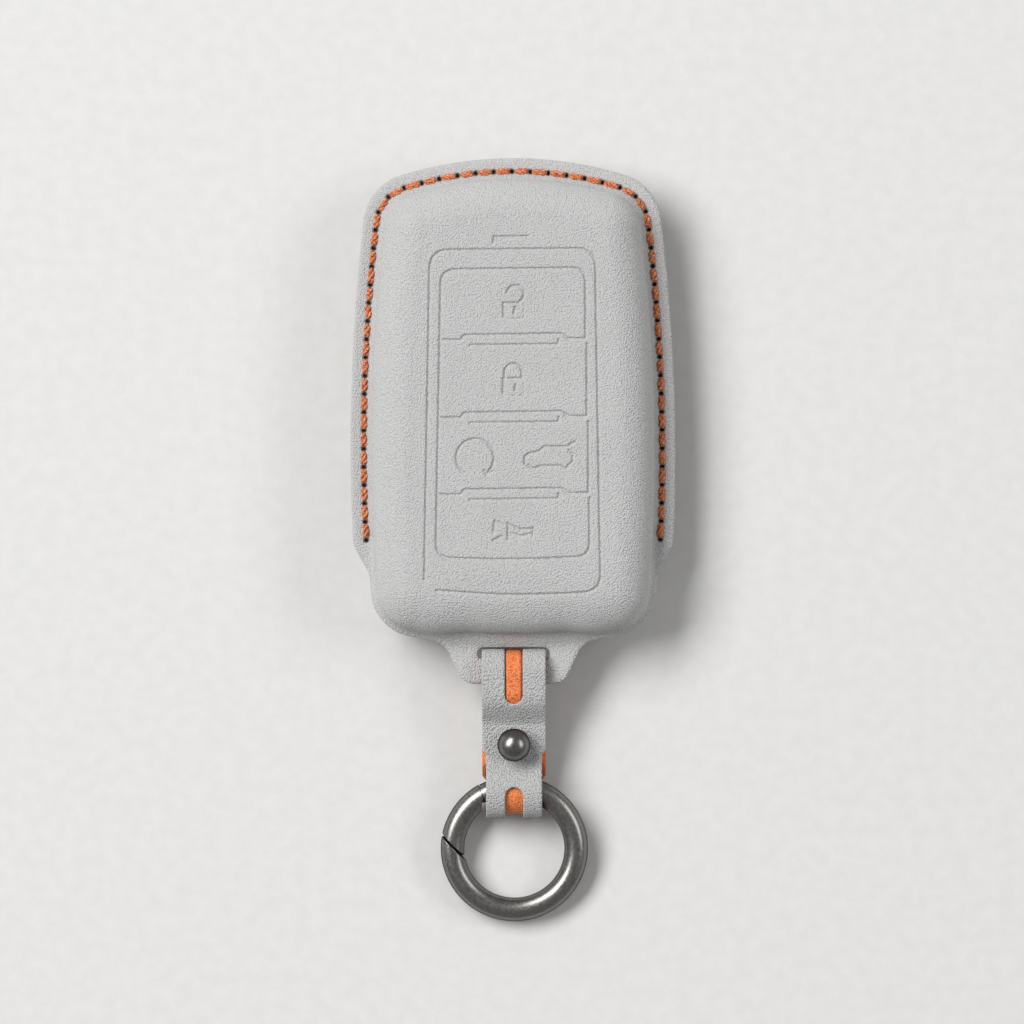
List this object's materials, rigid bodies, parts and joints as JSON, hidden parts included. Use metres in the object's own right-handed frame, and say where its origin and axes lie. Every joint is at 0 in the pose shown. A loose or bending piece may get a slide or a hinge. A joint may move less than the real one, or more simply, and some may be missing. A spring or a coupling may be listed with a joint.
{
  "type": "key fob cover",
  "caption": "Moulded suede cover for a car key fob, sewn along a rim, with a lined strap looped through its tab, a ball stud and a round ring with a spring gate.",
  "frame": {"origin": "middle of the flat back of the case, on the surface it lies on", "axes": "+X to the right seen from the front, +Y up the case away from the ring, +Z towards the front"},
  "size_m": [0.055, 0.1294, 0.0175],
  "materials": {
    "suede": "matt suede nap",
    "pocket_lining": "fine microfibre",
    "thread": "waxed twisted thread",
    "strap_orange": "matt grain",
    "stud_metal": "polished gunmetal plate",
    "ring_metal": "satin gunmetal plate",
    "spring_steel": "bright"
  },
  "bodies": {
    "case": {"front_shell": "suede", "back_shell": "suede", "front_lining": "pocket_lining", "back_lining": "pocket_lining", "front_stitches": "thread", "back_stitches": "thread"},
    "strap": {"strap_outer": "suede", "strap_lining": "strap_orange", "ball_stud": "stud_metal", "stud_screw": "stud_metal"},
    "ring": {"ring_body": "ring_metal", "gate_pin": "spring_steel", "gate_spring": "spring_steel"},
    "gate": {"ring_gate": "ring_metal"}
  },
  "joints": [
    {"name": "strap_swing", "type": "hinge", "parent": "case", "child": "strap", "pos_m": [0, -0.04408, 0.0075], "axis": [1, 0, 0], "range_deg": [-95, 80]},
    {"name": "ring_swing", "type": "hinge", "parent": "strap", "child": "ring", "pos_m": [0, -0.0645, 0.00459], "axis": [1, 0, 0], "range_deg": [-100, 100]},
    {"name": "gate_pivot", "type": "hinge", "parent": "ring", "child": "gate", "pos_m": [-0.00435, -0.06472, 0.00456], "axis": [0, -0.1251, 0.9921], "range_deg": [0, 13], "stiffness_Nm_per_rad": 0.01, "springref_deg": -28.65, "deforming": ["gate_spring"]}
  ]
}
